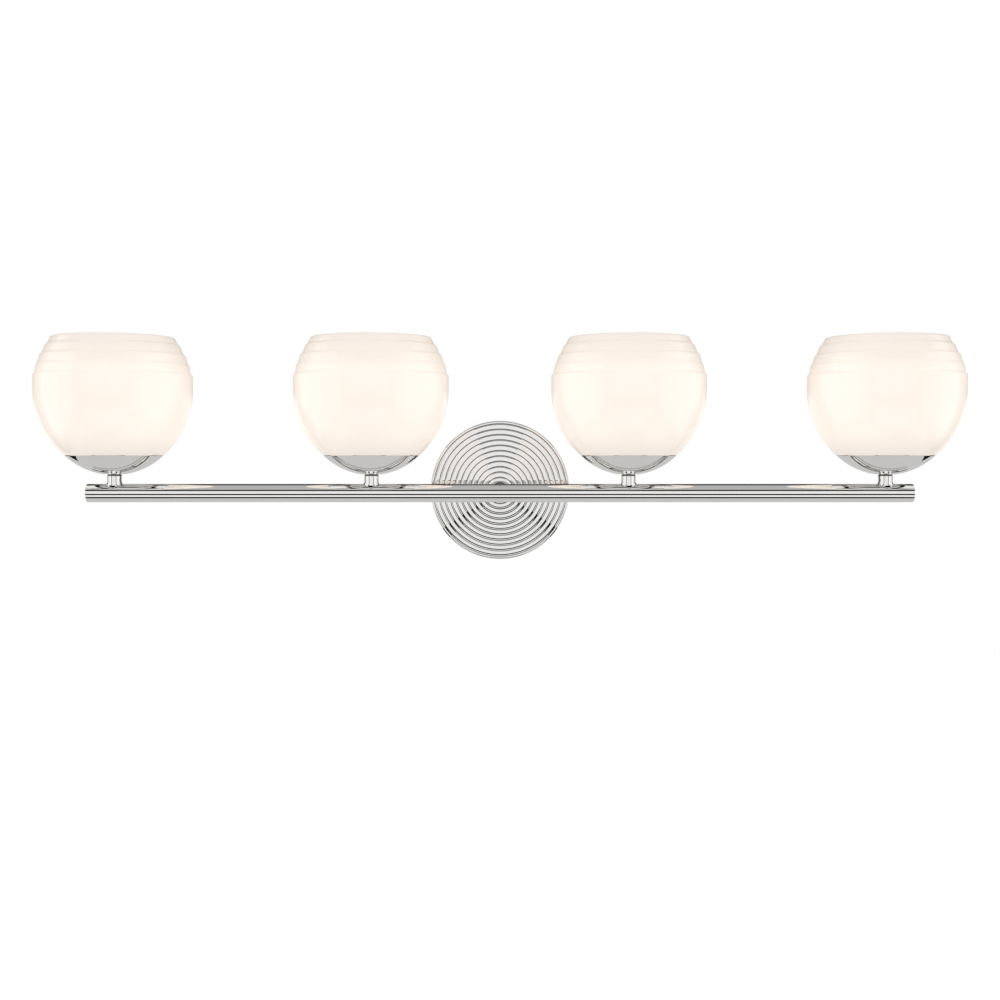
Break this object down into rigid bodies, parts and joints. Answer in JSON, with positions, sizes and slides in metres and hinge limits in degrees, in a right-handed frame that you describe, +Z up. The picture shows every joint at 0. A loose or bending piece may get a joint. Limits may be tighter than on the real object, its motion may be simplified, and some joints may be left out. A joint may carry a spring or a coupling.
{
  "type": "vanity light bar",
  "caption": "Wall-mounted vanity light bar: tiered opal globe shades stand in bowl cups on a round tube, held off the wall by a short arm and a stepped round canopy.",
  "frame": {"origin": "on the wall plane at the centre of the wall bracket, level with the bar's axis", "axes": "+X along the bar to the viewer's right, +Y into the wall, +Z up"},
  "size_m": [0.8102, 0.1701, 0.201],
  "materials": {
    "opal_glass": "opal white glass, glossy, lit from inside",
    "polished_nickel": "mirror-polished nickel plate",
    "zinc_steel": "bright zinc plate",
    "ceramic": "unglazed steatite",
    "lamp_base": "smooth white",
    "frosted_lamp": "frosted, lit",
    "silicone": "milky silicone",
    "earth_green": "green passivated",
    "bare_copper": "bare drawn copper",
    "black_insulation": "satin",
    "white_insulation": "satin",
    "connector_plastic": "moulded, fine ribs"
  },
  "bodies": {
    "frame": {"bar_tube": "polished_nickel", "end_cap_left": "polished_nickel", "end_cap_right": "polished_nickel", "canopy": "polished_nickel", "centre_arm": "polished_nickel", "arm_nipple": "zinc_steel", "arm_nut": "zinc_steel", "wall_bracket": "zinc_steel", "canopy_screw_left": "polished_nickel", "canopy_screw_right": "polished_nickel", "earth_screw": "earth_green", "earth_lead": "bare_copper", "lead_live": "black_insulation", "lead_neutral": "white_insulation", "wire_connector_live": "connector_plastic", "wire_connector_neutral": "connector_plastic", "stem_1": "polished_nickel", "threaded_nipple_1": "zinc_steel", "shade_cup_1": "polished_nickel", "cup_nut_1": "zinc_steel", "cup_pad_1": "silicone", "socket_sleeve_1": "zinc_steel", "lamp_holder_1": "ceramic", "stem_2": "polished_nickel", "threaded_nipple_2": "zinc_steel", "shade_cup_2": "polished_nickel", "cup_nut_2": "zinc_steel", "cup_pad_2": "silicone", "socket_sleeve_2": "zinc_steel", "lamp_holder_2": "ceramic", "stem_3": "polished_nickel", "threaded_nipple_3": "zinc_steel", "shade_cup_3": "polished_nickel", "cup_nut_3": "zinc_steel", "cup_pad_3": "silicone", "socket_sleeve_3": "zinc_steel", "lamp_holder_3": "ceramic", "stem_4": "polished_nickel", "threaded_nipple_4": "zinc_steel", "shade_cup_4": "polished_nickel", "cup_nut_4": "zinc_steel", "cup_pad_4": "silicone", "socket_sleeve_4": "zinc_steel", "lamp_holder_4": "ceramic"},
    "shade_1": {"glass_shade_1": "opal_glass", "shade_ring_1": "zinc_steel"},
    "lamp_1": {"lamp_base_1": "lamp_base", "lamp_bulb_1": "frosted_lamp"},
    "shade_2": {"glass_shade_2": "opal_glass", "shade_ring_2": "zinc_steel"},
    "lamp_2": {"lamp_base_2": "lamp_base", "lamp_bulb_2": "frosted_lamp"},
    "shade_3": {"glass_shade_3": "opal_glass", "shade_ring_3": "zinc_steel"},
    "lamp_3": {"lamp_base_3": "lamp_base", "lamp_bulb_3": "frosted_lamp"},
    "shade_4": {"glass_shade_4": "opal_glass", "shade_ring_4": "zinc_steel"},
    "lamp_4": {"lamp_base_4": "lamp_base", "lamp_bulb_4": "frosted_lamp"}
  },
  "joints": [
    {"name": "shade_lift_1", "type": "slide", "parent": "frame", "child": "shade_1", "axis": [0, 0, 1], "range_m": [0, 0.075]},
    {"name": "lamp_pull_1", "type": "slide", "parent": "frame", "child": "lamp_1", "axis": [0, 0, 1], "range_m": [0, 0.01]},
    {"name": "shade_lift_2", "type": "slide", "parent": "frame", "child": "shade_2", "axis": [0, 0, 1], "range_m": [0, 0.075]},
    {"name": "lamp_pull_2", "type": "slide", "parent": "frame", "child": "lamp_2", "axis": [0, 0, 1], "range_m": [0, 0.01]},
    {"name": "shade_lift_3", "type": "slide", "parent": "frame", "child": "shade_3", "axis": [0, 0, 1], "range_m": [0, 0.075]},
    {"name": "lamp_pull_3", "type": "slide", "parent": "frame", "child": "lamp_3", "axis": [0, 0, 1], "range_m": [0, 0.01]},
    {"name": "shade_lift_4", "type": "slide", "parent": "frame", "child": "shade_4", "axis": [0, 0, 1], "range_m": [0, 0.075]},
    {"name": "lamp_pull_4", "type": "slide", "parent": "frame", "child": "lamp_4", "axis": [0, 0, 1], "range_m": [0, 0.01]}
  ]
}
